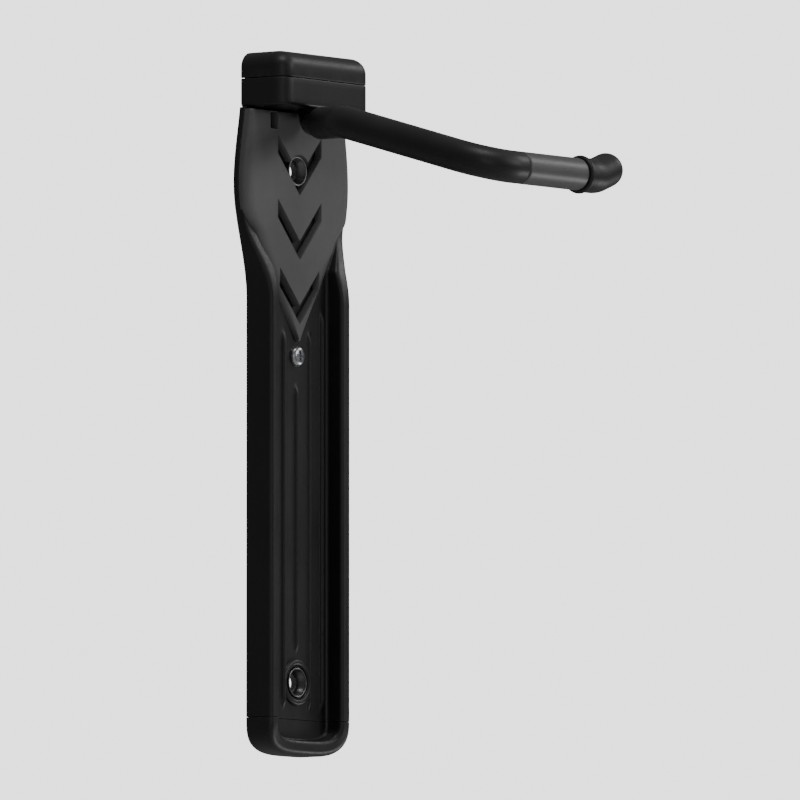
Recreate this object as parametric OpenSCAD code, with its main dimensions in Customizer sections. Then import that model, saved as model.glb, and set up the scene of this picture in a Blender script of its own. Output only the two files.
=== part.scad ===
// Bicycle wall rack: a wall plate with a moulded tyre track, a grip pad, and a hook that
// swivels on a vertical pivot inside the head. Millimetres, +Z up, -Y out of the wall.
// The origin is the middle of the wall-screw line, on the back face of the wall plate.

/* [Rack body] */
// Overall height of the rack
rack_h = 304; // [275:1:370]
// From the upper wall screw to the top of the head
head_above_screw = 50; // [48:0.5:56]
// From the lower wall screw to the bottom of the tail
tail_below_screw = 32; // [26:0.5:45]
// Width of the tyre track
track_w = 57; // [54:0.5:64]
// Width across the shoulders beside the grip pad
shoulder_w = 75; // [70:0.5:90]
// Inside width of the channel that the tyre rests in
channel_w = 43; // [40:0.5:45]
// How far the side rails stand out from the wall
rail_stand = 14; // [11:0.5:16]
// How far the channel floor stands out from the wall
floor_stand = 5.5; // [5:0.1:7]
// Height of the rounded tail
tail_h = 16; // [12:0.5:20]

/* [Wall plate] */
// Thickness of the steel wall plate
plate_t = 2.5; // [2:0.1:3]
// How far the plate's edge lies inside the mouldings
plate_inset = 1.8; // [1.5:0.1:3]
// Diameter of the wall-screw holes
wall_hole_d = 7; // [5:0.1:8]
// Outside diameter of the cup washers under the wall screws
cup_d = 13; // [12:0.1:15]

/* [Head] */
// Width of the head
head_w = 64; // [60:0.5:70]
// Depth of the head, out from the wall
head_depth = 23; // [22:0.5:30]
// Height of the head
head_h = 24; // [23.5:0.5:32]
// Height of the lower head shell
housing_h = 12.5; // [11:0.5:14]
// Radius of the head's upright front corners
head_corner_r = 8; // [5:0.5:10]
// Radius along the head's top edges
head_edge_r = 7; // [4:0.5:8]
// Wall thickness of the head shells
head_wall = 2; // [1.6:0.1:2.4]

/* [Grip pad] */
// Height of the shield-shaped grip pad
pad_h = 99; // [90:1:110]
// How far the pad's face stands out from the wall
pad_stand = 7.5; // [7:0.1:9]
// Thickness of the pad
pad_t = 3.5; // [3:0.1:4]
// Thickness of the pad's skirt, which wraps the shoulders' sides
skirt_t = 2; // [1.5:0.1:2.5]
// Distance between chevrons
chevron_pitch = 28; // [26:0.5:32]
// Half width of a chevron
chevron_arm = 15; // [10:0.5:17]

/* [Hook] */
// Diameter of the hook's steel rod
rod_d = 10; // [8:0.1:12]
// Outside diameter of the rubber sleeves on the hook
sleeve_d = 14; // [13:0.1:14.5]
// From the wall to the middle of the peg
hook_reach = 138; // [110:1:170]
// How far the arm stands to the side of the pivot
arm_offset = 38; // [30:0.5:50]
// From the arm's centre line to the end of the peg
peg_len = 92; // [80:1:115]
// How far the peg hangs below the head
peg_drop = 32.5; // [26:0.5:40]
// How far the tip turns up
tip_rise = 3.1; // [2:0.1:6]
// Swing of the hook to each side, in degrees
swing = 45; // [30:1:50]

/* [Fits] */
// Radial running clearance between the rod and its bushes
run_gap = 0.05; // [0.02:0.01:0.1]
// Gap around pieces that slide over or seat in each other
seat_gap = 0.05; // [0.02:0.01:0.1]
// Gap between neighbouring mouldings
seam_gap = 0.2; // [0.1:0.05:0.4]
// Clear distance that moving pieces keep from fixed ones
move_gap = 0.3; // [0.3:0.05:0.5]

/* [Hidden] */
$fn = 64;

// Heights of the main features
screw_z = (rack_h - head_above_screw - tail_below_screw) / 2;
head_top = screw_z + head_above_screw;
bottom_z = -screw_z - tail_below_screw;
head_bottom = head_top - head_h;
cover_z = head_bottom + housing_h;
tail_z = bottom_z + tail_h;

// Half widths of the body, and the heights where they change
track_half = track_w / 2;
shoulder_half = shoulder_w / 2;
head_half = head_w / 2;
shoulder_z = head_bottom - 33;
flare_h = 50;
flare_z = shoulder_z - flare_h;
flare_step = 4;
channel_half = channel_w / 2;
tail_squareness = 3.4;
tail_steps = 12;

// The wall plate ends below the head's top, with its top corners cut
plate_drop = 3;
plate_cut = head_edge_r + 2;

// Grip pad
pad_top = head_bottom - 1;
pad_tip = pad_top - pad_h;
pad_bulge = 0.4;
pad_gap = 0.2;
pad_seat = pad_stand - pad_t;
chevron_rise = 17;
chevron_stroke = 7;
chevron_border = 4;
chevron_tip = screw_z - 10;
slot_w = 4.5;
slot_h = 7;
slot_x = 18;
slot_drop = 4;
wrap_z = shoulder_z - 12;
wrap_blend = 10;
skirt_base = 3;

// Channel ribs and the low step where the rails run out beside the pad
rib_w = 2;
rib_stand = floor_stand + 1.2;
rib_pitch = 9;
rib_x = [for (i = [-2 : 2]) i * rib_pitch];
rib_gap = 3;
rib_foot = 4;
rib_search = 30;
edge_stand = pad_seat;
tail_dish = 5;

// Screws: countersunk ones come from behind, through the plate
csk_head_d = 7;
csk_shank_d = 3.4;
csk_h = 1.8;
csk_sink = 0.1;
drive_d = 3;
drive_depth = 1;
pan_head_d = 9;
pan_head_h = 2.4;
pan_bevel = 1.5;
pan_shank_d = 4;
cup_stand = floor_stand + 1;
cup_rim = 0.8;
cup_floor = 1.2;
cup_hole_r = wall_hole_d / 2 + 0.5;
track_screw_x = track_half - (track_half - channel_half) / 2 - 1.2;
track_screw_z = [tail_z + 22, flare_z - 22];
track_screw_len = rail_stand - 4;
cap_screw_len = floor_stand - 0.8;
cap_screw_z = tail_z - 5;
centre_screw_z = pad_tip - pan_head_d / 2 - 2;

// Pivot bracket and the stack on the pivot, from the head's floor to its ceiling
ceiling_z = head_top - 1.6;
web_t = 2.5;
web_out = plate_t + web_t;
lug_t = 2.5;
lug_half = 14;
lug_gap = 0.4;
bracket_half = 21;
bush_wall = 1.2;
bush_flange_t = 1.2;
bush_extra = 1.5;
washer_t = 1;
washer_lip = 0.8;
ring_t = 1;
ring_lip = 1.4;
ring_slot = 3;
end_float = 0.1;
rod_r = rod_d / 2;
bush_r = rod_r + run_gap + bush_wall;
bush_flange_r = rod_r + bush_wall + 1.5;

// The rod clears the pad's face, and the head is at least deep enough for the bushes
pivot_out = pad_stand + rod_r + move_gap;
head_out = max(head_depth, pivot_out + bush_flange_r + head_wall + move_gap);
head_inner = head_out - head_wall;
lower_flange_z = head_bottom + head_wall + lug_gap;
lower_lug_z = lower_flange_z + bush_flange_t;
rod_top = ceiling_z - 0.5;
ring_z = rod_top - ring_t - 0.8;
washer_z = ring_z - washer_t - end_float / 2;
upper_flange_z = washer_z - end_float - bush_flange_t;
upper_lug_z = upper_flange_z - lug_t;
groove_depth = 0.4;
floor_hole_r = rod_r + 2;
bracket_screw_x = 17.5;
bracket_screw_z = (lower_lug_z + upper_flange_z) / 2;
post_x = head_half - 5;
housing_screw_z = head_bottom + 6.5;
housing_screw_len = 10;
cover_screw_out = 13;
cover_screw_len = head_h - 6;
boss_r = 3.2;

// The stop pin meets the bracket's web at the end of the swing
pin_d = 3;
pin_z = (lower_lug_z + upper_flange_z) / 2;
web_reach = pivot_out - web_out - move_gap;
pin_half = (web_reach - pin_d / 2 * cos(swing)) / sin(swing);

// Hook: the corners of the rod's centre line, and the bend at each
arm_z = head_bottom - 6;
shoulder_out = 60;
shoulder_drop = 4;
peg_z = head_bottom - peg_drop;
tip_run = 8.5;
cap_nose_r = 7.5;
tip_x = peg_len - arm_offset - cap_nose_r;
HOOK = [[0, -pivot_out, rod_top],
        [0, -pivot_out, arm_z],
        [-arm_offset, -shoulder_out, arm_z - shoulder_drop],
        [-arm_offset, -hook_reach, peg_z],
        [tip_x - tip_run, -hook_reach, peg_z],
        [tip_x, -hook_reach, peg_z + tip_rise]];
BENDS = [0, 8, 18, 17, 12, 0];
bend_step = 0.02;
bend_overlap = 0.3;
sleeve_start = 22;
sleeve_split = 22;
cap_mouth = 12;
cap_lip = 3;
cap_lip_r = 8.3;
rod_end_short = 3;

// Small helpers
function smooth(t) = t * t * (3 - 2 * t);
function between(v, lo, hi) = max(0, min(1, (v - lo) / (hi - lo)));
function unit(v) = v / norm(v);

// Half width of the body at a height: track, flare to the shoulders, then in to the head
function body_half(z) =
    z < shoulder_z
    ? track_half + (shoulder_half - track_half) * smooth(between(z, flare_z, shoulder_z))
    : shoulder_half + (head_half - shoulder_half) * smooth(between(z, shoulder_z, cover_z));

// Half width of the grip pad: the whole body above the wrap, then in to a point
function pad_taper(t) = (1 - t) * (1 + pad_bulge * t);
function pad_point(z) = shoulder_half * pad_taper(between(z, shoulder_z, pad_tip));
function pad_half(z) =
    pad_point(z) + (body_half(z) - pad_point(z)) * smooth(between(z, wrap_z - wrap_blend, wrap_z));

// Heights at which the upper outline is drawn
function heights(lo, hi) = [for (i = [0 : ceil((hi - lo) / flare_step)])
                            min(hi, lo + i * flare_step)];

// Right half of the tail: a squarish quarter ellipse
function tail_side(half, low, high) = [for (i = [0 : tail_steps])
    let (a = 90 * i / tail_steps, p = 2 / tail_squareness)
    [half * pow(sin(a), p), high - (high - low) * pow(cos(a), p)]];

function mirrored(side) = concat(side, [for (i = [len(side) - 1 : -1 : 0])
                                        [-side[i][0], side[i][1]]]);

// Outlines, seen from the front
module body_outline(inset, top) {
    side = concat(tail_side(track_half - inset, bottom_z + inset, tail_z),
                  [for (z = heights(flare_z, top)) [body_half(z) - inset, z]]);
    polygon(mirrored(side));
}

module pad_outline(inset) {
    low = pad_tip + inset;
    polygon(mirrored([for (z = heights(low, pad_top - inset))
                      [max(0.8, pad_half(z) - inset), z]]));
}

// The pad's own space: its front, and the skirt down the sides of the shoulders
module pad_space(grow, front) {
    stand_off(pad_seat - grow, front) pad_outline(-grow);
    stand_off(skirt_base - grow, front) difference() {
        body_outline(-grow, pad_top + grow);
        body_outline(skirt_t + grow, pad_top + grow + 1);
        translate([-shoulder_w, bottom_z - 1])
            square([2 * shoulder_w, wrap_z - grow - bottom_z + 1]);
    }
}

module channel_outline() {
    polygon(mirrored([for (z = concat([tail_z - 1], heights(pad_tip, head_bottom)))
                      [max(channel_half, pad_half(z) + pad_gap), z]]));
}

// A flat outline made solid between two distances from the wall
module stand_off(from, to) {
    translate([0, -from, 0]) rotate([90, 0, 0]) linear_extrude(to - from) children();
}

// An outline of [distance from the wall, height], made solid across the rack
module across(width) {
    translate([width / 2, 0, 0]) rotate([0, 0, -90]) rotate([90, 0, 0])
        linear_extrude(width) children();
}

// A cylinder standing out from the wall
module peg_out(x, z, from, to, r1, r2) {
    translate([x, -from, z]) rotate([90, 0, 0]) cylinder(h = to - from, r1 = r1, r2 = r2);
}

module upright(from, to, r) {
    translate([0, -pivot_out, from]) cylinder(h = to - from, r = r);
}

module tube(from, to, outer, inner) {
    difference() {
        upright(from, to, outer);
        upright(from - 1, to + 1, inner);
    }
}

// The wall plate's outline, cut across its top corners
module plate_outline(grow) {
    top = head_top - plate_drop + grow;
    half = body_half(top) - plate_inset + grow;
    difference() {
        body_outline(plate_inset - grow, top);
        for (s = [-1, 1])
            translate([s * half, top]) rotate(45)
                square(plate_cut * sqrt(2), center = true);
    }
}

module plate_pocket() {
    stand_off(-1, plate_t + seam_gap) plate_outline(seam_gap);
}

// Countersunk screw that comes from behind the plate
module csk_screw(x, z, length) {
    difference() {
        union() {
            peg_out(x, z, csk_sink, csk_sink + csk_h, csk_head_d / 2, csk_shank_d / 2);
            peg_out(x, z, csk_sink + csk_h, csk_sink + length, csk_shank_d / 2,
                    csk_shank_d / 2);
        }
        translate([x, 0, z]) rotate([90, 0, 0])
            cylinder(h = csk_sink + drive_depth, d = drive_d, $fn = 6);
    }
}

module csk_hole(x, z, length) {
    wide = csk_head_d / 2 + seat_gap;
    narrow = csk_shank_d / 2 + seat_gap;
    peg_out(x, z, -1, csk_sink, wide, wide);
    peg_out(x, z, csk_sink, csk_sink + csk_h, wide, narrow);
    peg_out(x, z, csk_sink + csk_h - 0.01, csk_sink + length + seat_gap, narrow, narrow);
}

// Every place where a countersunk screw goes, as [x, z, length]
TRACK_SCREWS = concat([for (s = [-1, 1], z = track_screw_z)
                       [s * track_screw_x, z, track_screw_len]],
                      [[0, cap_screw_z, cap_screw_len]]);
HOUSING_SCREWS = [for (s = [-1, 1]) [s * post_x, housing_screw_z, housing_screw_len]];
BRACKET_SCREWS = [for (s = [-1, 1]) [s * bracket_screw_x, bracket_screw_z,
                                     web_out - csk_sink]];

module csk_screws(places) {
    for (p = places) csk_screw(p[0], p[1], p[2]);
}

module csk_holes(places) {
    for (p = places) csk_hole(p[0], p[1], p[2]);
}

module wall_holes(from, to, d) {
    for (s = [-1, 1]) peg_out(0, s * screw_z, from, to, d / 2, d / 2);
}

// Steel plate that is screwed to the wall
module wall_plate() {
    color("dimgray")
    difference() {
        stand_off(0, plate_t) plate_outline(0);
        wall_holes(-1, plate_t + 1, wall_hole_d);
        peg_out(0, centre_screw_z, -1, plate_t + 1, pan_shank_d / 2 + seat_gap,
                pan_shank_d / 2 + seat_gap);
        csk_holes(TRACK_SCREWS);
        csk_holes(HOUSING_SCREWS);
        csk_holes(BRACKET_SCREWS);
    }
}

// How far the rails stand out at each height
module rail_profile() {
    run_out = [for (z = heights(flare_z, wrap_z))
               [rail_stand + (edge_stand - rail_stand)
                * smooth(between(z, flare_z, wrap_z)), z]];
    polygon(concat([[0, tail_z + seam_gap], [rail_stand, tail_z + seam_gap]], run_out,
                   [[edge_stand, head_bottom - seam_gap], [0, head_bottom - seam_gap]]));
}

module channel_rib(x) {
    low = abs(x) < rib_pitch / 2 ? cup_d / 2 - screw_z + rib_gap : tail_z + rib_foot;
    high = abs(x) < rib_pitch / 2 ? centre_screw_z - pan_head_d / 2 - rib_gap
                                  : rib_top(abs(x));
    translate([x - rib_w / 2, -rib_stand, low])
        cube([rib_w, rib_stand - floor_stand + 0.5, high - low]);
}

// A side rib stops below the pad's slanted edge
function rib_top(x) = max([for (z = heights(pad_tip - rib_search, shoulder_z))
                           if (pad_half(z) < x - rib_w && z > pad_tip || z <= pad_tip)
                           z]) - rib_gap;

// Black moulding: channel floor, side rails and the seat of the grip pad
module track_body() {
    color("#141414")
    difference() {
        union() {
            intersection() {
                across(shoulder_w + 2) rail_profile();
                union() {
                    stand_off(0, floor_stand) body_outline(0, head_bottom);
                    stand_off(floor_stand - 0.5, rail_stand + 1) difference() {
                        body_outline(0, head_bottom);
                        channel_outline();
                    }
                }
            }
            for (x = rib_x) channel_rib(x);
        }
        plate_pocket();
        pad_space(pad_gap, rail_stand);
        wall_holes(0, rail_stand, cup_d + 2 * seam_gap);
        peg_out(0, centre_screw_z, 0, rail_stand, pan_shank_d / 2 + seat_gap,
                pan_shank_d / 2 + seat_gap);
        csk_holes(TRACK_SCREWS);
    }
}

// Black tail that closes the lower end of the track, dished between the rails
module end_cap() {
    color("#101010")
    difference() {
        intersection() {
            stand_off(0, rail_stand) body_outline(0, head_bottom);
            translate([-track_half, -rail_stand, bottom_z])
                cube([track_w, rail_stand, tail_h - seam_gap]);
        }
        translate([-channel_half, -rail_stand - 1, bottom_z + tail_dish])
            cube([channel_w, rail_stand + 1 - floor_stand, tail_h]);
        plate_pocket();
        csk_holes(TRACK_SCREWS);
    }
}

module chevron(tip) {
    arm = min(chevron_arm, pad_half(tip + chevron_rise) - chevron_border);
    rise = chevron_rise * arm / chevron_arm;
    polygon([[0, tip], [arm, tip + rise], [arm, tip + rise + chevron_stroke],
             [0, tip + chevron_stroke], [-arm, tip + rise + chevron_stroke],
             [-arm, tip + rise]]);
}

// Grey rubber shield with chevrons cut through it
module grip_pad() {
    color("#48494b")
    difference() {
        pad_space(0, pad_stand);
        stand_off(0, rail_stand) {
            for (i = [0 : 2]) chevron(chevron_tip - i * chevron_pitch);
            for (s = [-1, 1])
                translate([s * slot_x, pad_top - slot_drop])
                    square([slot_w, slot_h], center = true);
        }
        peg_out(0, screw_z, 0, rail_stand, cup_d / 2 + seam_gap, cup_d / 2 + seam_gap);
    }
}

// Cup washers that take the heads of the two wall screws
module cup_washers() {
    color("#55565a")
    for (s = [-1, 1])
        difference() {
            peg_out(0, s * screw_z, plate_t, cup_stand, cup_d / 2, cup_d / 2);
            peg_out(0, s * screw_z, 0, cup_stand + 1, cup_hole_r, cup_hole_r);
            peg_out(0, s * screw_z, plate_t + cup_floor, cup_stand + 0.01, cup_hole_r,
                    cup_d / 2 - cup_rim);
        }
}

// Pan-head screw through the track and plate, below the pad's point
module centre_screw() {
    color("silver")
    difference() {
        union() {
            peg_out(0, centre_screw_z, csk_sink, floor_stand, pan_shank_d / 2,
                    pan_shank_d / 2);
            peg_out(0, centre_screw_z, floor_stand, floor_stand + pan_head_h / 2,
                    pan_head_d / 2, pan_head_d / 2);
            peg_out(0, centre_screw_z, floor_stand + pan_head_h / 2,
                    floor_stand + pan_head_h, pan_head_d / 2, pan_head_d / 2 - pan_bevel);
        }
        translate([0, -floor_stand - pan_head_h + drive_depth, centre_screw_z])
            rotate([90, 0, 0]) cylinder(h = drive_depth + 1, d = drive_d, $fn = 6);
    }
}

module track_screws() {
    color("silver") csk_screws(TRACK_SCREWS);
}

module lug(z) {
    difference() {
        translate([-lug_half, -(head_inner - move_gap), z])
            cube([2 * lug_half, head_inner - move_gap - plate_t, lug_t]);
        upright(z - 1, z + lug_t + 1, bush_r + seat_gap);
    }
}

// Pressed steel bracket with two lugs that hold the pivot bushes
module pivot_bracket() {
    color("gray")
    union() {
        difference() {
            translate([-bracket_half, -web_out, lower_lug_z])
                cube([2 * bracket_half, web_t, upper_lug_z + lug_t - lower_lug_z]);
            csk_holes(BRACKET_SCREWS);
        }
        lug(lower_lug_z);
        lug(upper_lug_z);
    }
}

module bracket_screws() {
    color("silver") csk_screws(BRACKET_SCREWS);
}

// Bush below the lower lug, flange down
module lower_bush() {
    color("beige")
    union() {
        tube(lower_flange_z, lower_lug_z, bush_flange_r, rod_r + run_gap);
        tube(lower_lug_z, lower_lug_z + lug_t + bush_extra, bush_r, rod_r + run_gap);
    }
}

// Bush above the upper lug, flange up
module upper_bush() {
    color("beige")
    union() {
        tube(upper_flange_z, upper_flange_z + bush_flange_t, bush_flange_r,
             rod_r + run_gap);
        tube(upper_lug_z - bush_extra, upper_flange_z, bush_r, rod_r + run_gap);
    }
}

// Three outlines whose common part is the head: from above, the side and the front
module head_plan(inset) {
    half = head_half - inset;
    out = head_out - inset;
    r = head_corner_r - inset;
    translate([-half, r - out]) square([2 * half, out - r + 1]);
    translate([r - half, -out]) square([2 * (half - r), out]);
    for (s = [-1, 1]) translate([s * (half - r), r - out]) circle(r);
}

module head_side(inset, top) {
    out = head_out - inset;
    r = head_edge_r - inset;
    translate([-1, head_bottom - 1]) square([out + 1, top - r - head_bottom + 1]);
    translate([-1, head_bottom - 1]) square([out - r + 1, top - head_bottom + 1]);
    translate([out - r, top - r]) circle(r);
}

module head_front(inset, top) {
    half = head_half - inset;
    r = head_edge_r - inset;
    translate([-half, head_bottom - 1]) square([2 * half, top - r - head_bottom + 1]);
    translate([r - half, head_bottom - 1]) square([2 * (half - r), top - head_bottom + 1]);
    for (s = [-1, 1]) translate([s * (half - r), top - r]) circle(r);
}

module head_form(inset, from, to, top) {
    intersection() {
        translate([0, 0, from]) linear_extrude(to - from) head_plan(inset);
        across(head_w + 2) head_side(inset, top);
        stand_off(-1, head_out + 1) head_front(inset, top);
        translate([-head_half, -head_out, from]) cube([head_w, head_out, to - from]);
    }
}

// Lower head shell: floor, walls, and posts for its screws
module head_housing() {
    top = cover_z - seam_gap;
    color("#121212")
    difference() {
        head_form(0, head_bottom, top, head_top);
        difference() {
            head_form(head_wall, head_bottom + head_wall, top + 1, ceiling_z);
            for (s = [-1, 1])
                translate([s * post_x - boss_r, -head_out, head_bottom])
                    cube([2 * boss_r, head_out, head_h]);
        }
        upright(head_bottom - 1, head_bottom + head_wall + 1, floor_hole_r);
        plate_pocket();
        csk_holes(HOUSING_SCREWS);
        cover_screw_holes();
    }
}

module cover_screw(x, grow) {
    translate([x, -cover_screw_out, head_bottom - grow])
        cylinder(h = pan_head_h + grow, r = csk_head_d / 2 + grow);
    translate([x, -cover_screw_out, head_bottom])
        cylinder(h = cover_screw_len + grow, r = csk_shank_d / 2 + grow);
}

module cover_screw_holes() {
    for (s = [-1, 1]) cover_screw(s * post_x, seat_gap);
}

// Two screws that come up through the lower shell into the cover
module cover_screws() {
    color("#303030")
    for (s = [-1, 1])
        difference() {
            cover_screw(s * post_x, 0);
            translate([s * post_x, -cover_screw_out, head_bottom])
                cylinder(h = 2 * drive_depth, d = drive_d, center = true, $fn = 6);
        }
}

// Upper head shell with rounded top edges
module head_cover() {
    color("#121212")
    difference() {
        head_form(0, cover_z, head_top, head_top);
        difference() {
            head_form(head_wall, cover_z - 1, ceiling_z, ceiling_z);
            for (s = [-1, 1])
                translate([s * post_x, -cover_screw_out, cover_z])
                    cylinder(h = head_h, r = boss_r);
        }
        plate_pocket();
        cover_screw_holes();
    }
}

module housing_screws() {
    color("silver") csk_screws(HOUSING_SCREWS);
}

// Direction of a stretch of the hook, and the length that a bend takes from it
function way(i) = unit(HOOK[i + 1] - HOOK[i]);
function turn(i) = acos(way(i - 1) * way(i));
function cut_back(i) = BENDS[i] == 0 ? 0 : BENDS[i] * tan(turn(i) / 2);

// Round bar from one point to another
module bar(a, b, r) {
    d = unit(b - a);
    side = unit(cross(d, abs(d[2]) > 0.9 ? [1, 0, 0] : [0, 0, 1]));
    up = cross(d, side);
    multmatrix([[side[0], up[0], d[0], a[0]],
                [side[1], up[1], d[1], a[1]],
                [side[2], up[2], d[2], a[2]]])
        cylinder(h = norm(b - a), r = r);
}

// Straight stretch of the hook after corner i, between two distances from that corner
module stretch(i, from, to, r) {
    bar(HOOK[i] + way(i) * from, HOOK[i] + way(i) * to, r);
}

// The same with a round end: the centre of the round is at distance to
module domed_stretch(i, from, to, r) {
    d = way(i);
    side = unit(cross(d, [0, 0, 1]));
    up = cross(d, side);
    a = HOOK[i] + d * from;
    multmatrix([[side[0], up[0], d[0], a[0]],
                [side[1], up[1], d[1], a[1]],
                [side[2], up[2], d[2], a[2]]])
        rotate_extrude() intersection() {
            union() {
                translate([-r, 0]) square([2 * r, to - from]);
                translate([0, to - from]) circle(r);
            }
            square([r, to - from + r]);
        }
}

// Rounded bend at corner i, a hair thinner than the straight stretches that run into it
module bend(i, r) {
    start = HOOK[i] - way(i - 1) * cut_back(i);
    lift = cross(way(i - 1), way(i));
    axis = unit(lift);
    inward = cross(axis, way(i - 1));
    centre = start + inward * BENDS[i];
    out = -inward;
    go = way(i - 1);
    multmatrix([[out[0], go[0], axis[0], centre[0]],
                [out[1], go[1], axis[1], centre[1]],
                [out[2], go[2], axis[2], centre[2]]])
        rotate_extrude(angle = turn(i)) translate([BENDS[i], 0]) circle(r - bend_step);
}

function span(i) = norm(HOOK[i + 1] - HOOK[i]);

// Where stretch i leaves its first bend, and where it enters its second
function leaves(i) = BENDS[i] == 0 ? 0 : cut_back(i) - bend_overlap;
function enters(i) = span(i) - (BENDS[i + 1] == 0 ? 0 : cut_back(i + 1) - bend_overlap);

module clear_stretch(i, r) {
    stretch(i, leaves(i), enters(i), r);
}

// Bent steel rod: pivot, arm, peg and turned-up end
module hook_rod() {
    color("#1a1a1a")
    difference() {
        union() {
            for (i = [0 : 3]) clear_stretch(i, rod_r);
            stretch(4, leaves(4), span(4) - rod_end_short, rod_r);
            for (i = [1 : 4]) bend(i, rod_r);
        }
        tube(ring_z - end_float / 2, ring_z + ring_t + end_float / 2, rod_r + 1,
             rod_r - groove_depth);
        translate([-rod_d, -pivot_out, pin_z]) rotate([0, 90, 0])
            cylinder(h = 2 * rod_d, r = pin_d / 2 + seat_gap / 2);
    }
}

// Rubber sleeve over the arm and round the outer corner
module arm_run(r, trim) {
    stretch(1, sleeve_start - trim, enters(1), r);
    bend(2, r);
    clear_stretch(2, r);
    bend(3, r);
    stretch(3, leaves(3), sleeve_split + trim, r);
}

module arm_sleeve() {
    color("#161616")
    difference() {
        arm_run(sleeve_d / 2, 0);
        arm_run(rod_r + seat_gap, 1);
    }
}

// Rubber sleeve on the peg that the rim hangs from
module peg_sleeve() {
    from = sleeve_split + seam_gap;
    to = span(3) - cap_mouth;
    color("#3c3c3e")
    difference() {
        stretch(3, from, to, sleeve_d / 2);
        stretch(3, from - 1, to + 1, rod_r + seat_gap);
    }
}

// Rounded cap over the turned-up end
module tip_cap() {
    from = span(3) - cap_mouth + seam_gap;
    color("#1c1c1c")
    difference() {
        union() {
            stretch(3, from, enters(3), cap_nose_r);
            stretch(3, from, from + cap_lip, cap_lip_r);
            bend(4, cap_nose_r);
            domed_stretch(4, leaves(4), span(4), cap_nose_r);
        }
        stretch(3, from - 1, enters(3), rod_r + seat_gap);
        bend(4, rod_r + seat_gap);
        stretch(4, leaves(4), span(4) - rod_end_short + seat_gap, rod_r + seat_gap);
    }
}

// Cross pin through the rod; its ends meet the bracket's web and stop the swing
module stop_pin() {
    color("silver")
    translate([-pin_half, -pivot_out, pin_z]) rotate([0, 90, 0])
        cylinder(h = 2 * pin_half, r = pin_d / 2);
}

// Washer that carries the hook on the upper bush
module thrust_washer() {
    color("silver")
    tube(washer_z, washer_z + washer_t, bush_r + washer_lip, rod_r + run_gap);
}

// Spring ring in the rod's groove, open on one side
module retaining_ring() {
    color("dimgray")
    difference() {
        tube(ring_z, ring_z + ring_t, rod_r + ring_lip, rod_r - groove_depth + seat_gap);
        translate([0, -pivot_out - ring_slot / 2, ring_z - 1])
            cube([rod_d, ring_slot, ring_t + 2]);
    }
}

wall_plate();
track_body();
end_cap();
grip_pad();
cup_washers();
centre_screw();
track_screws();
pivot_bracket();
bracket_screws();
lower_bush();
upper_bush();
head_housing();
head_cover();
housing_screws();
cover_screws();
hook_rod();
arm_sleeve();
peg_sleeve();
tip_cap();
stop_pin();
thrust_washer();
retaining_ring();
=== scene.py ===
"""Looks of a bicycle wall rack: moulded tyre track, grip pad, head and swivelling hook.

Everything is in metres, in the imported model's own frame: +Z up, -Y out of the wall.
"""
import logging
import math
from dataclasses import dataclass, field
from enum import Enum
from typing import Callable, Sequence

import bmesh
import bpy
import numpy as np
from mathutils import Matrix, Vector


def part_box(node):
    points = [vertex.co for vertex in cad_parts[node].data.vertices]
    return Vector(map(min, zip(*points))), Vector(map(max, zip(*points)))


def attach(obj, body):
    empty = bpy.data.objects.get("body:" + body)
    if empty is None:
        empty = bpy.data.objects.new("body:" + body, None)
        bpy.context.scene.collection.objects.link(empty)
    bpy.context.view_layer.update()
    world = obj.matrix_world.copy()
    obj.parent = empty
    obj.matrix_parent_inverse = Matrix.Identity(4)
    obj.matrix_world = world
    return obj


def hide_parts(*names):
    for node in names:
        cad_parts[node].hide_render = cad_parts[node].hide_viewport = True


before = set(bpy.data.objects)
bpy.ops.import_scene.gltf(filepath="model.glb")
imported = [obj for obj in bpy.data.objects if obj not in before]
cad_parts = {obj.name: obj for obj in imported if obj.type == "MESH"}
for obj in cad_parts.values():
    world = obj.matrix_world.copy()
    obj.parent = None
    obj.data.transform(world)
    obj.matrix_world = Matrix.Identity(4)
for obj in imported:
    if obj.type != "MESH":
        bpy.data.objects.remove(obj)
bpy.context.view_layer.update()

logging.basicConfig(level=logging.INFO, format="%(name)s: %(message)s")
log = logging.getLogger("rack")

MM = 0.001
SHARP_ANGLE = math.radians(38)
MERGE_DISTANCE = 1e-6
CUTTER_SIDES = 48
PIVOT_OUT = float(-sum(p.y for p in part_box("thrust_washer")) / 2)


class Body(str, Enum):
    """The two rigid bodies that pieces ride on."""

    RACK = "rack"
    HOOK = "hook"


class Slot(str, Enum):
    """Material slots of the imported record."""

    PLATE_STEEL = "plate_steel"
    BLACK_MOULDING = "black_moulding"
    GREY_RUBBER = "grey_rubber"
    DARK_ZINC = "dark_zinc"
    BRIGHT_ZINC = "bright_zinc"
    BUSH_PLASTIC = "bush_plastic"
    COATED_STEEL = "black_coated_steel"
    BLACK_RUBBER = "black_rubber"
    DARK_GREY_RUBBER = "dark_grey_rubber"


# ---------------------------------------------------------------- curves of one number


def smooth(t: np.ndarray) -> np.ndarray:
    """Ease from 0 to 1: 3t squared minus 2t cubed, held at both ends."""
    t = np.clip(t, 0.0, 1.0)
    return t * t * (3.0 - 2.0 * t)


def between(v: np.ndarray, low: float, high: float) -> np.ndarray:
    """How far v lies from low to high, as a share held between 0 and 1."""
    return np.clip((v - low) / (high - low), 0.0, 1.0)


def arc(start_deg: float, end_deg: float, count: int) -> tuple[np.ndarray, np.ndarray]:
    """Cosines and sines of evenly spaced angles.

    Args:
        start_deg: First angle, in degrees.
        end_deg: Last angle, in degrees.
        count: How many angles.

    Returns:
        The cosines and the sines, as two arrays.
    """
    angles = np.radians(np.linspace(start_deg, end_deg, count))
    return np.cos(angles), np.sin(angles)


def circle(count: int) -> tuple[np.ndarray, np.ndarray]:
    """Cosines and sines of evenly spaced angles all the way round."""
    return arc(0, 360 - 360 / count, count)


# ---------------------------------------------------------------- meshes from arrays


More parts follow.
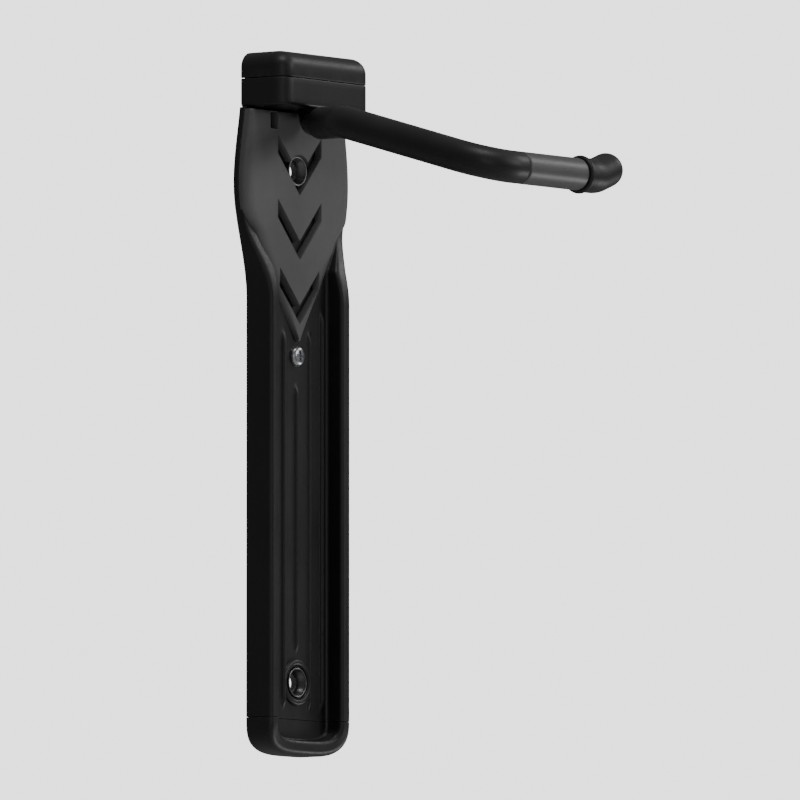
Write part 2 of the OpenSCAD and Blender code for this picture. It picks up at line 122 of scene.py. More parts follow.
def grid_quads(rows: int, cols: int, wrap_rows: bool = False,
               wrap_cols: bool = False) -> np.ndarray:
    """Faces of a grid of points numbered row by row.

    Args:
        rows: Number of rows.
        cols: Number of columns.
        wrap_rows: Whether the last row joins the first.
        wrap_cols: Whether the last column joins the first.

    Returns:
        An array of four point numbers per face.
    """
    r = np.arange(rows if wrap_rows else rows - 1)[:, None]
    c = np.arange(cols if wrap_cols else cols - 1)[None, :]
    r2, c2 = (r + 1) % rows, (c + 1) % cols
    corners = [r * cols + c, r * cols + c2, r2 * cols + c2, r2 * cols + c]
    return np.stack(np.broadcast_arrays(*corners), axis=-1).reshape(-1, 4)


def make_piece(name: str, points: np.ndarray,
               faces: Sequence[Sequence[int]]) -> bpy.types.Object:
    """Makes a closed mesh object whose faces point outwards.

    Args:
        name: The object's name.
        points: Positions in metres, one row each.
        faces: Point numbers of each face.

    Returns:
        The new object, at the origin.
    """
    mesh = bpy.data.meshes.new(name)
    mesh.from_pydata(points.reshape(-1, 3).tolist(), [], list(faces))
    tidy_mesh(mesh)
    piece = bpy.data.objects.new(name, mesh)
    bpy.context.scene.collection.objects.link(piece)
    return piece


def tidy_mesh(mesh: bpy.types.Mesh) -> None:
    """Merges doubles, points the faces outwards and keeps hard edges hard."""
    work = bmesh.new()
    work.from_mesh(mesh)
    bmesh.ops.remove_doubles(work, verts=work.verts, dist=MERGE_DISTANCE)
    bmesh.ops.dissolve_degenerate(work, edges=work.edges, dist=MERGE_DISTANCE)
    bmesh.ops.recalc_face_normals(work, faces=work.faces)
    work.to_mesh(mesh)
    work.free()
    mesh.shade_smooth()
    mesh.set_sharp_from_angle(angle=SHARP_ANGLE)
    mesh.validate()


def loft(name: str, rings: np.ndarray) -> bpy.types.Object:
    """Skins closed rings of points and closes both ends with flat faces."""
    rows, cols = rings.shape[:2]
    faces = grid_quads(rows, cols, wrap_cols=True).tolist()
    faces.append(list(range(cols)))
    faces.append(list(range((rows - 1) * cols, rows * cols)))
    return make_piece(name, rings, faces)


def ring_stack(name: str, rings: np.ndarray, closed: bool) -> bpy.types.Object:
    """Skins round rings; closed joins the last to the first, else both end in a point."""
    rows, cols = rings.shape[:2]
    return make_piece(name, rings, grid_quads(rows, cols, closed, True).tolist())


class Cut(str, Enum):
    """What a tool solid does to a piece."""

    AWAY = "DIFFERENCE"
    ONTO = "UNION"


def carve(piece: bpy.types.Object, tools: Sequence[bpy.types.Object],
          cut: Cut = Cut.AWAY) -> None:
    """Cuts the tools' volumes away from the piece, or adds them, and removes the tools."""
    for tool in tools:
        step = piece.modifiers.new("cut", "BOOLEAN")
        step.operation = cut.value
        step.solver = "EXACT"
        step.object = tool
    settle(piece)
    for tool in tools:
        bpy.data.objects.remove(tool)
    tidy_mesh(piece.data)


def settle(piece: bpy.types.Object) -> None:
    """Applies the piece's modifiers to its mesh."""
    bpy.context.view_layer.update()
    solved = piece.evaluated_get(bpy.context.evaluated_depsgraph_get())
    mesh = bpy.data.meshes.new_from_object(solved)
    piece.modifiers.clear()
    piece.data = mesh


def turned(x: float, z: float, out: np.ndarray, radius: np.ndarray,
           sides: int) -> np.ndarray:
    """Round rings about an axis that stands out from the wall.

    Args:
        x: Place of the axis across the rack.
        z: Height of the axis.
        out: Distance of each ring from the wall.
        radius: Radius of each ring.
        sides: Points per ring.

    Returns:
        The rings of points.
    """
    c, s = circle(sides)
    return np.stack([x + radius[:, None] * c, np.repeat(-out[:, None], sides, 1),
                     z + radius[:, None] * s], axis=-1)


def mirrored(half_x: np.ndarray, half_out: np.ndarray, z: np.ndarray) -> np.ndarray:
    """Closed rings from half sections that run from the middle round to the back."""
    ring_x = np.concatenate([half_x, -half_x[:, :0:-1]], 1)
    ring_out = np.concatenate([half_out, half_out[:, :0:-1]], 1)
    return np.stack([ring_x, -ring_out, np.repeat(z, ring_x.shape[1], 1)], axis=-1)


def drill(x: float, z: float,
          outline: Sequence[tuple[float, float]]) -> bpy.types.Object:
    """A round cutter standing out from the wall.

    Args:
        x: Place across the rack.
        z: Height.
        outline: Pairs of distance from the wall and radius, from the wall outwards.

    Returns:
        The cutter.
    """
    out, radius = np.array(outline).T
    return loft("cutter", turned(x, z, out, radius, CUTTER_SIDES))


def prism(outline: np.ndarray, stations: Sequence[tuple[float, float]]) -> bpy.types.Object:
    """A cutter with a straight-sided outline, wider where it meets the surface.

    The outline grows by moving each corner along the sum of its two edge normals,
    divided by one plus their dot product, which keeps the edges parallel.

    Args:
        outline: Corners as [x, z], counter-clockwise as seen from the room.
        stations: Pairs of distance from the wall and growth of the outline.

    Returns:
        The cutter.
    """
    edge = np.roll(outline, -1, axis=0) - outline
    edge /= np.linalg.norm(edge, axis=1)[:, None]
    normal = np.stack([edge[:, 1], -edge[:, 0]], axis=1)
    before = np.roll(normal, 1, axis=0)
    corner = (normal + before) / (1 + (normal * before).sum(1))[:, None]
    rings = [np.column_stack([p[:, 0], np.full(len(p), -out), p[:, 1]])
             for out, grow in stations for p in [outline + corner * grow]]
    return loft("cutter", np.array(rings))


# ---------------------------------------------------------------- shader node groups


class Sheet:
    """Places nodes in a node tree and links them."""

    def __init__(self, tree: bpy.types.NodeTree) -> None:
        """Keeps the tree that nodes go into."""
        self.tree = tree

    def add(self, kind: str, **settings: object) -> bpy.types.Node:
        """Adds a node and sets its properties.

        Args:
            kind: The node's type name, without the leading ShaderNode.
            settings: Properties to set.

        Returns:
            The node.
        """
        node = self.tree.nodes.new("ShaderNode" + kind)
        for key, value in settings.items():
            setattr(node, key, value)
        return node

    def join(self, source: bpy.types.NodeSocket, target: bpy.types.NodeSocket) -> None:
        """Links one socket to another."""
        self.tree.links.new(source, target)

    def math(self, operation: str, a: object, b: object = None,
             clamp: bool = False) -> bpy.types.NodeSocket:
        """A Math node on sockets or numbers; gives its result."""
        node = self.add("Math", operation=operation, use_clamp=clamp)
        for socket, value in zip(node.inputs, (a, b)):
            if isinstance(value, bpy.types.NodeSocket):
                self.join(value, socket)
            elif value is not None:
                socket.default_value = value
        return node.outputs[0]

    def span(self, value: bpy.types.NodeSocket, low: float, high: float,
             to_low: float = 0.0, to_high: float = 1.0) -> bpy.types.NodeSocket:
        """Maps a value's span to another, held at both ends."""
        node = self.add("MapRange", clamp=True)
        self.join(value, node.inputs["Value"])
        for key, number in (("From Min", low), ("From Max", high),
                            ("To Min", to_low), ("To Max", to_high)):
            node.inputs[key].default_value = number
        return node.outputs["Result"]

    def noise(self, where: bpy.types.NodeSocket, scale: object, detail: float = 3.0,
              rough: float = 0.55) -> bpy.types.NodeSocket:
        """Noise at a place, as a value near 0.5."""
        node = self.add("TexNoise")
        self.join(where, node.inputs["Vector"])
        if isinstance(scale, bpy.types.NodeSocket):
            self.join(scale, node.inputs["Scale"])
        else:
            node.inputs["Scale"].default_value = scale
        node.inputs["Detail"].default_value = detail
        node.inputs["Roughness"].default_value = rough
        return node.outputs["Fac"]

    def object_place(self) -> bpy.types.NodeSocket:
        """Object coordinates, in metres."""
        return self.add("TexCoord").outputs["Object"]


class Group:
    """A shader node group with named inputs and outputs."""

    def __init__(self, name: str, inputs: dict[str, float],
                 outputs: Sequence[str]) -> None:
        """Makes the group and its sockets."""
        self.tree = bpy.data.node_groups.new(name, "ShaderNodeTree")
        for key, value in inputs.items():
            socket = self.tree.interface.new_socket(key, in_out="INPUT",
                                                    socket_type="NodeSocketFloat")
            socket.default_value = value
        for key in outputs:
            self.tree.interface.new_socket(key, in_out="OUTPUT",
                                           socket_type="NodeSocketFloat")
        self.sheet = Sheet(self.tree)
        self.source = self.tree.nodes.new("NodeGroupInput")
        self.result = self.tree.nodes.new("NodeGroupOutput")

    def give_mask(self, mask: bpy.types.NodeSocket) -> None:
        """Sends out a mask times the group's amount, held between 0 and 1."""
        scaled = self.sheet.math("MULTIPLY", mask, self.source.outputs["Amount"], True)
        self.sheet.join(scaled, self.result.inputs["Mask"])

    def place(self, sheet: Sheet, **values: float) -> bpy.types.Node:
        """Puts the group into a material with its own values."""
        node = sheet.tree.nodes.new("ShaderNodeGroup")
        node.node_tree = self.tree
        for key, value in values.items():
            node.inputs[key].default_value = value
        return node


def moulded_grain() -> Group:
    """Spark-eroded mould texture: cells and fine noise added as a height."""
    group = Group("moulded_grain", {"Scale": 900.0, "Cells": 0.5}, ["Height"])
    s = group.sheet
    where = s.object_place()
    fine = s.noise(where, group.source.outputs["Scale"], 2.0, 0.6)
    cells = s.add("TexVoronoi", feature="SMOOTH_F1")
    s.join(where, cells.inputs["Vector"])
    s.join(s.math("MULTIPLY", group.source.outputs["Scale"], 0.7), cells.inputs["Scale"])
    share = s.math("MULTIPLY", cells.outputs["Distance"], group.source.outputs["Cells"])
    s.join(s.math("ADD", fine, share), group.result.inputs["Height"])
    return group


def edge_wear() -> Group:
    """Mask of rubbed edges: the mesh's pointed places, broken up by noise."""
    group = Group("edge_wear", {"Amount": 0.5, "Scale": 160.0}, ["Mask"])
    s = group.sheet
    point = s.add("NewGeometry").outputs["Pointiness"]
    edge = s.span(point, 0.52, 0.62)
    patch = s.span(s.noise(s.object_place(), group.source.outputs["Scale"], 4.0, 0.65),
                   0.4, 0.68)
    group.give_mask(s.math("MULTIPLY", edge, patch))
    return group


def settled_dust() -> Group:
    """Mask of dust: faces that look upwards, in soft drifts."""
    group = Group("settled_dust", {"Amount": 0.2, "Scale": 45.0}, ["Mask"])
    s = group.sheet
    split = s.add("SeparateXYZ")
    s.join(s.add("NewGeometry").outputs["Normal"], split.inputs[0])
    up = s.span(split.outputs["Z"], 0.1, 0.95)
    drift = s.span(s.noise(s.object_place(), group.source.outputs["Scale"], 5.0, 0.6),
                   0.3, 0.75, 0.25, 1.0)
    group.give_mask(s.math("MULTIPLY", up, drift))
    return group


def handled() -> Group:
    """Slow change of tone and gloss, with faint vertical rub marks."""
    group = Group("handled", {"Scale": 22.0, "Streaks": 0.3}, ["Tone", "Gloss"])
    s = group.sheet
    where = s.object_place()
    slow = s.noise(where, group.source.outputs["Scale"], 4.0, 0.6)
    squeeze = s.add("Mapping")
    squeeze.inputs["Scale"].default_value = (1.0, 1.0, 0.06)
    s.join(where, squeeze.inputs["Vector"])
    streak = s.span(s.noise(squeeze.outputs["Vector"], 700.0, 3.0, 0.7), 0.45, 0.8)
    rubbed = s.math("MULTIPLY", streak, group.source.outputs["Streaks"])
    s.join(slow, group.result.inputs["Tone"])
    s.join(s.math("ADD", slow, rubbed), group.result.inputs["Gloss"])
    return group


class Effects:
    """The shared node groups, each built once."""

    def __init__(self) -> None:
        """Builds every group."""
        self.grain = moulded_grain()
        self.wear = edge_wear()
        self.dust = settled_dust()
        self.handled = handled()


# ---------------------------------------------------------------- finishes

Colour = tuple[float, float, float]


@dataclass(frozen=True)
class Finish:
    """One material's look: tones, gloss, grain, wear and dust.

    Colours are linear, roughness runs from 0 to 1, depths are in metres.
    """

    slot: Slot
    tone: Colour
    light_tone: Colour
    roughness: float
    gloss_swing: float = 0.12
    metallic: float = 0.0
    grain_scale: float = 900.0
    grain_cells: float = 0.5
    grain_depth: float = 0.00004
    grain_strength: float = 0.35
    wear: float = 0.5
    wear_tone: Colour = (0.05, 0.05, 0.05)
    dust: float = 0.12
    dust_tone: Colour = (0.32, 0.31, 0.30)
    dust_dulling: float = 0.5
    streaks: float = 0.3

    def build(self, effects: Effects) -> bpy.types.Material:
        """Makes the material.

        Args:
            effects: The shared node groups.

        Returns:
            The material, named after its slot.
        """
        material = bpy.data.materials.new(self.slot.value)
        material.use_nodes = True
        sheet = Sheet(material.node_tree)
        shader = material.node_tree.nodes["Principled BSDF"]
        shader.inputs["Metallic"].default_value = self.metallic
        handled_node = effects.handled.place(sheet, Streaks=self.streaks)
        wear_node = effects.wear.place(sheet, Amount=self.wear)
        dust_node = effects.dust.place(sheet, Amount=self.dust)
        grain_node = effects.grain.place(sheet, Scale=self.grain_scale,
                                         Cells=self.grain_cells)
        tone = self._mix(sheet, sheet.span(handled_node.outputs["Tone"], 0.35, 0.65),
                         self.tone, self.light_tone)
        tone = self._mix(sheet, wear_node.outputs["Mask"], tone, self.wear_tone)
        tone = self._mix(sheet, dust_node.outputs["Mask"], tone, self.dust_tone)
        sheet.join(tone, shader.inputs["Base Color"])
        gloss = sheet.span(handled_node.outputs["Gloss"], 0.3, 0.9,
                           self.roughness - self.gloss_swing / 2,
                           self.roughness + self.gloss_swing)
        dulled = sheet.math("MULTIPLY", dust_node.outputs["Mask"], self.dust_dulling)
        sheet.join(sheet.math("ADD", gloss, dulled, True), shader.inputs["Roughness"])
        bump = sheet.add("Bump")
        bump.inputs["Strength"].default_value = self.grain_strength
        bump.inputs["Distance"].default_value = self.grain_depth
        sheet.join(grain_node.outputs["Height"], bump.inputs["Height"])
        sheet.join(bump.outputs["Normal"], shader.inputs["Normal"])
        return material

    @staticmethod
    def _mix(sheet: Sheet, share: bpy.types.NodeSocket, a: object,
             b: object) -> bpy.types.NodeSocket:
        """Mixes two colours, each a socket or three numbers."""
        node = sheet.add("Mix", data_type="RGBA")
        sheet.join(share, node.inputs["Factor"])
        for key, value in ((6, a), (7, b)):
            if isinstance(value, bpy.types.NodeSocket):
                sheet.join(value, node.inputs[key])
            else:
                node.inputs[key].default_value = (*value, 1.0)
        return node.outputs[2]


FINISHES = (
    Finish(Slot.BLACK_MOULDING, (0.0055, 0.0056, 0.0060), (0.0088, 0.0089, 0.0094), 0.42,
           grain_scale=1500.0, wear_tone=(0.045, 0.045, 0.047)),
    Finish(Slot.GREY_RUBBER, (0.098, 0.099, 0.102), (0.120, 0.121, 0.125), 0.60,
           grain_scale=2200.0, grain_cells=0.2, wear_tone=(0.13, 0.13, 0.135), dust=0.2),
    Finish(Slot.BLACK_RUBBER, (0.0080, 0.0080, 0.0084), (0.0115, 0.0115, 0.0120), 0.44,
           gloss_swing=0.06, grain_scale=2600.0, grain_cells=0.15),
    Finish(Slot.DARK_GREY_RUBBER, (0.085, 0.085, 0.088), (0.110, 0.110, 0.113), 0.40,
           gloss_swing=0.06, grain_scale=2600.0, grain_cells=0.15,
           wear_tone=(0.16, 0.16, 0.16)),
    Finish(Slot.COATED_STEEL, (0.011, 0.011, 0.012), (0.017, 0.017, 0.018), 0.34,
           grain_scale=1300.0, grain_cells=0.9, wear_tone=(0.20, 0.20, 0.21)),
    Finish(Slot.PLATE_STEEL, (0.045, 0.045, 0.048), (0.062, 0.062, 0.065), 0.40,
           grain_scale=1300.0, grain_cells=0.9, wear_tone=(0.25, 0.25, 0.26)),
    Finish(Slot.DARK_ZINC, (0.16, 0.16, 0.17), (0.24, 0.24, 0.25), 0.34, metallic=1.0,
           grain_scale=3000.0, grain_cells=0.1, wear_tone=(0.45, 0.45, 0.46)),
    Finish(Slot.BRIGHT_ZINC, (0.42, 0.43, 0.45), (0.56, 0.57, 0.58), 0.30, metallic=1.0,
           grain_scale=3000.0, grain_cells=0.1, wear_tone=(0.7, 0.7, 0.7)),
    Finish(Slot.BUSH_PLASTIC, (0.60, 0.56, 0.46), (0.70, 0.66, 0.56), 0.45,
           grain_scale=1500.0, grain_cells=0.1, wear_tone=(0.8, 0.78, 0.7)),
)


class Workshop:
    """Holds the finishes and hands pieces over to the frame."""

    def __init__(self) -> None:
        """Builds every finish once."""
        effects = Effects()
        self.materials = {f.slot: f.build(effects) for f in FINISHES}

    def dress(self, piece: bpy.types.Object, slot: Slot) -> None:
        """Gives a piece its material."""
        piece.data.materials.clear()
        piece.data.materials.append(self.materials[slot])

    def deliver(self, piece: bpy.types.Object, body: Body, slot: Slot,
                *nodes: str) -> None:
        """Dresses a new piece, rides it on a body and names what it stands for."""
        self.dress(piece, slot)
        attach(piece, body.value)
        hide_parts(*nodes)
        log.info("%s on %s: %d faces, stands for %s", piece.name, body.value,
                 len(piece.data.polygons), ", ".join(nodes))


# ---------------------------------------------------------------- the rack's own form


@dataclass
class BodyForm:
    """Outline of the rack's body, read from the frame's boxes. Lengths in metres."""

    track_half: float = float(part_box("end_cap")[1].x)
    shoulder_half: float = float(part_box("track_body")[1].x)
    head_half: float = float(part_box("head_housing")[1].x)
    bottom: float = float(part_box("end_cap")[0].z)
    tail_top: float = float(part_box("end_cap")[1].z)
    head_bottom: float = float(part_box("head_housing")[0].z)
    head_mid: float = float(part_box("head_cover")[0].z)
    pad_top: float = float(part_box("grip_pad")[1].z)
    pad_tip: float = float(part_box("grip_pad")[0].z)
    shoulder_drop: float = 33 * MM
    flare: float = 50 * MM
    wrap_drop: float = 12 * MM
    wrap_blend: float = 10 * MM
    pad_bulge: float = 0.4

    @property
    def shoulder(self) -> float:
        """Height of the widest place."""
        return self.head_bottom - self.shoulder_drop

    @property
    def flare_start(self) -> float:
        """Height where the track starts to widen."""
        return self.shoulder - self.flare

    @property
    def wrap(self) -> float:
        """Height above which the pad covers the whole width."""
        return self.shoulder - self.wrap_drop

    def half(self, z: np.ndarray) -> np.ndarray:
        """Half width: track, eased out to the shoulders, then eased in to the head."""
        low = self.track_half + (self.shoulder_half - self.track_half) * smooth(
            between(z, self.flare_start, self.shoulder))
        high = self.shoulder_half + (self.head_half - self.shoulder_half) * smooth(
            between(z, self.shoulder, self.head_mid))
        return np.where(z < self.shoulder, low, high)

    def pad_half(self, z: np.ndarray) -> np.ndarray:
        """Half width of the pad: the body's above the wrap, then in to a point.

        The point is (1 - t)(1 + bulge t), with t from the shoulders to the tip.
        """
        t = between(z, self.shoulder, self.pad_tip)
        point = self.shoulder_half * (1 - t) * (1 + self.pad_bulge * t)
        blend = smooth(between(z, self.wrap - self.wrap_blend, self.wrap))
        return point + (self.half(z) - point) * blend


@dataclass
class TrackMoulding:
    """Black channel with upright ribs and side rails, in two pieces with the tail.

    A section runs out from the middle of the floor, up the rail and round to the back.
    Its places across are m: 0 at the middle, 1 at the rail's foot and 2 at the outside.
    """

    form: BodyForm
    channel_half: float = 21.5 * MM
    rail_stand: float = float(-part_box("end_cap")[0].y)
    floor: float = 5.5 * MM
    seat: float = 4.0 * MM
    base: float = 2.8 * MM
    skirt: float = 2.3 * MM
    back_step: float = 2.7 * MM
    back_rim: float = 1.5 * MM
    foot_r: float = 1.8 * MM
    inner_r: float = 2.0 * MM
    outer_r: float = 2.6 * MM
    rib_height: float = 1.2 * MM
    rib_half: float = 1.3 * MM
    rib_pitch: float = 9.0 * MM
    screw_z: float = 111 * MM
    hole_r: float = 6.75 * MM
    boss_r: float = 8.7 * MM
    boss_half: float = 1.5 * MM
    boss_height: float = 1.3 * MM
    seam: float = 0.2 * MM
    back_edge: float = 0.4 * MM
    rib_foot: float = 4 * MM
    rib_fade: float = 5 * MM
    rib_clear: float = 2 * MM
    middle_stop: float = 18 * MM
    low_step: float = 1.2 * MM
    high_step: float = 2 * MM
    hair: float = 0.05 * MM
    floor_cols: int = 80
    tail_squareness: float = 3.4
    tail_lip: float = 3.0 * MM

    def rail_top(self, z: np.ndarray) -> np.ndarray:
        """Height of the rail's crest: full up to the flare, then eased down to the seat."""
        fall = smooth(between(z, self.form.flare_start, self.form.wrap))
        return self.rail_stand + (self.seat - self.rail_stand) * fall

    def foot(self, z: np.ndarray) -> np.ndarray:
        """Where the rail's inner wall stands: beside the channel, then beside the pad."""
        return np.maximum(self.channel_half, self.form.pad_half(z) + self.seam)

    def rib_relief(self, x: np.ndarray, z: np.ndarray) -> np.ndarray:
        """Height of the ribs: rounded ridges at even pitch that fade at both ends.

        Each ridge is one minus the square of its distance over its half width, to the
        power 0.6. The middle one stops short of both screws, and the side ones stop
        below the pad's edge.
        """
        relief = np.zeros(np.broadcast(x, z).shape)
        for index in range(-2, 3):
            middle = index * self.rib_pitch
            ridge = np.clip(1 - ((x - middle) / self.rib_half) ** 2, 0, 1) ** 0.6
            if index == 0:
                low = self.boss_r + self.boss_half - self.screw_z + self.rib_clear
                high = self.form.pad_tip - self.middle_stop
            else:
                low = self.form.tail_top + self.rib_foot
                high = self.form.pad_tip + abs(index) * self.rib_pitch - self.rib_foot
            ends = smooth((z - low) / self.rib_fade) * smooth((high - z) / self.rib_fade)
            relief = np.maximum(relief, ridge * ends * self.rib_height)
        return relief

    def section(self) -> tuple[np.ndarray, np.ndarray, np.ndarray]:
        """The rail's profile.

        Returns:
            m from 0 to 2; the share of the way from the floor to the crest; and the
            share of the outer rounding that each point drops below the crest.
        """
        width = self.form.track_half - self.channel_half
        fillet = self.foot_r / self.channel_half
        inner, outer = self.inner_r / width, self.outer_r / width
        low_share, high_share = 0.22, 0.76
        floor_m = np.linspace(0, 1 - fillet, self.floor_cols)
        c, s = arc(-90, 0, 8)
        foot_m = 1 - fillet + fillet * c[1:]
        foot_share = low_share * (1 + s[1:])
        wall_m = np.linspace(1, 1.04, 5)[1:]
        wall_share = np.linspace(low_share, high_share, 5)[1:]
        c, s = arc(180, 90, 9)
        crest_m = wall_m[-1] + inner * (1 + c[1:])
        crest_share = high_share + (1 - high_share) * s[1:]
        flat_m = np.linspace(crest_m[-1], 2 - outer, 5)[1:]
        c, s = arc(90, 0, 9)
        round_m = 2 - outer + outer * c[1:]
        m = np.concatenate([floor_m, foot_m, wall_m, crest_m, flat_m, round_m])
        level = len(flat_m) + len(round_m)
        share = np.concatenate([np.zeros(len(floor_m)), foot_share, wall_share,
                                crest_share, np.ones(level)])
        drop = np.zeros_like(m)
        drop[-len(round_m):] = 1 - s[1:]
        return m, share, drop

    def outer_wall(self) -> np.ndarray:
        """Shares of the outer wall's height, from the rail's rounding to the wall."""
        return np.linspace(0.62, 0.04, 6)

    def track_rings(self) -> np.ndarray:
        """Closed sections of the track, one for each height.

        Below the wrap the crest follows the rail's height; above it only a low rim is
        left under the pad's skirt. Under the pad the floor sinks to its seat.
        """
        form = self.form
        end = form.head_bottom - self.seam
        turn = form.wrap - self.seam
        low = np.arange(form.tail_top + self.seam, turn, self.low_step)
        high = np.arange(turn + self.hair, end, self.high_step)
        z = np.concatenate([low, [turn], high, [end]])[:, None]
        under = z > turn + self.hair / 5
        m, share, drop = self.section()
        outer = form.half(z)
        foot = np.where(under, outer - self.skirt,
                        np.minimum(self.foot(z), outer - 0.1 * MM))
        top = np.where(under, self.base, self.rail_top(z))
        x = foot * np.minimum(m, 1) + (outer - foot) * np.maximum(m - 1, 0)
        pad_edge = form.pad_half(z) - 0.8 * MM
        sunk = smooth((pad_edge - x) / (0.4 * MM)) * (z > form.pad_tip)
        floor = np.minimum(self.floor, top)
        floor = np.where(under, self.seat - self.seam,
                         floor + (self.seat - self.seam - floor) * sunk)
        relief = np.where((share == 0) & (sunk < 0.5) & ~under, self.rib_relief(x, z), 0)
        rounding = np.minimum(self.outer_r, 0.25 * top)
        out = floor + relief + (top - floor) * share - rounding * drop
        wall = self.outer_wall()
        rim = outer - self.back_rim
        half_x = np.concatenate([x, np.repeat(outer, len(wall), 1),
                                 outer - self.back_edge, rim, rim, rim * 0.5], 1)
        back = np.tile([0.0, 0.0, self.back_step, self.back_step], (len(z), 1))
        half_out = np.concatenate([out, top * wall, back], 1)
        return mirrored(half_x, half_out, z)

    def boss(self) -> bpy.types.Object:
        """Rounded collar round the lower wall screw: a half ellipse turned about it."""
        across, up = arc(0, 180, 13)
        r = self.boss_r + self.boss_half * np.concatenate([across, [-1, 1]])
        out = self.floor + np.concatenate([self.boss_height * up, [-MM, -MM]])
        return ring_stack("collar", turned(0, -self.screw_z, out, r, 60), True)

    def track(self) -> bpy.types.Object:
        """The long moulding, drilled for the two wall screws."""
        piece = loft("tyre_track", self.track_rings())
        carve(piece, [self.boss()], Cut.ONTO)
        span = [(-MM, self.hole_r), (20 * MM, self.hole_r)]
        carve(piece, [drill(0, z, span) for z in (self.screw_z, -self.screw_z)])
        return piece

    def tail(self) -> bpy.types.Object:
        """The rounded tail: the rail's section swept round a squarish half ellipse.

        The ellipse is cosine and sine of the angle, each to the power two over the
        squareness, scaled to the tail's half width and height.
        """
        form = self.form
        count = 73
        c, s = arc(0, -180, count)
        power = 2 / self.tail_squareness
        across = np.sign(c) * np.abs(c) ** power
        down = -np.abs(s) ** power
        top = form.tail_top
        outer = np.stack([form.track_half * across, (top - form.bottom) * down], -1)
        channel_drop = (top - form.bottom) - (form.track_half - self.channel_half)
        inner = np.stack([self.channel_half * across, channel_drop * down], -1)
        m, share, drop = self.section()
        near, far = np.minimum(m, 1)[None, :, None], np.maximum(m - 1, 0)[None, :, None]
        place = inner[:, None] * near + (outer - inner)[:, None] * far
        crest = self.rail_stand - self.tail_lip * down[:, None] ** 2
        out = self.floor + (crest - self.floor) * share - self.outer_r * drop
        wall = self.outer_wall()
        shrink = 1 - self.back_rim / form.track_half
        back = np.stack([outer * (1 - self.back_edge / form.track_half), outer * shrink,
                         outer * shrink, outer * 0], 1)
        place = np.concatenate([place, np.repeat(outer[:, None], len(wall), 1), back], 1)
        back_out = np.tile([0.0, 0.0, self.back_step, self.back_step], (count, 1))
        out = np.concatenate([out, crest * wall, back_out], 1)
        points = np.stack([place[..., 0], -out, top + place[..., 1]], axis=-1)
        cols = points.shape[1]
        faces = grid_quads(count, cols, wrap_cols=True).tolist()
        last = (count - 1) * cols
        faces.append(list(range(cols)) + list(range(last + cols - 1, last - 1, -1)))
        return make_piece("tail_cap", points, faces)

    def build(self, shop: Workshop) -> None:
        """Makes both mouldings."""
        shop.deliver(self.track(), Body.RACK, Slot.BLACK_MOULDING, "track_body")
        shop.deliver(self.tail(), Body.RACK, Slot.BLACK_MOULDING, "end_cap")


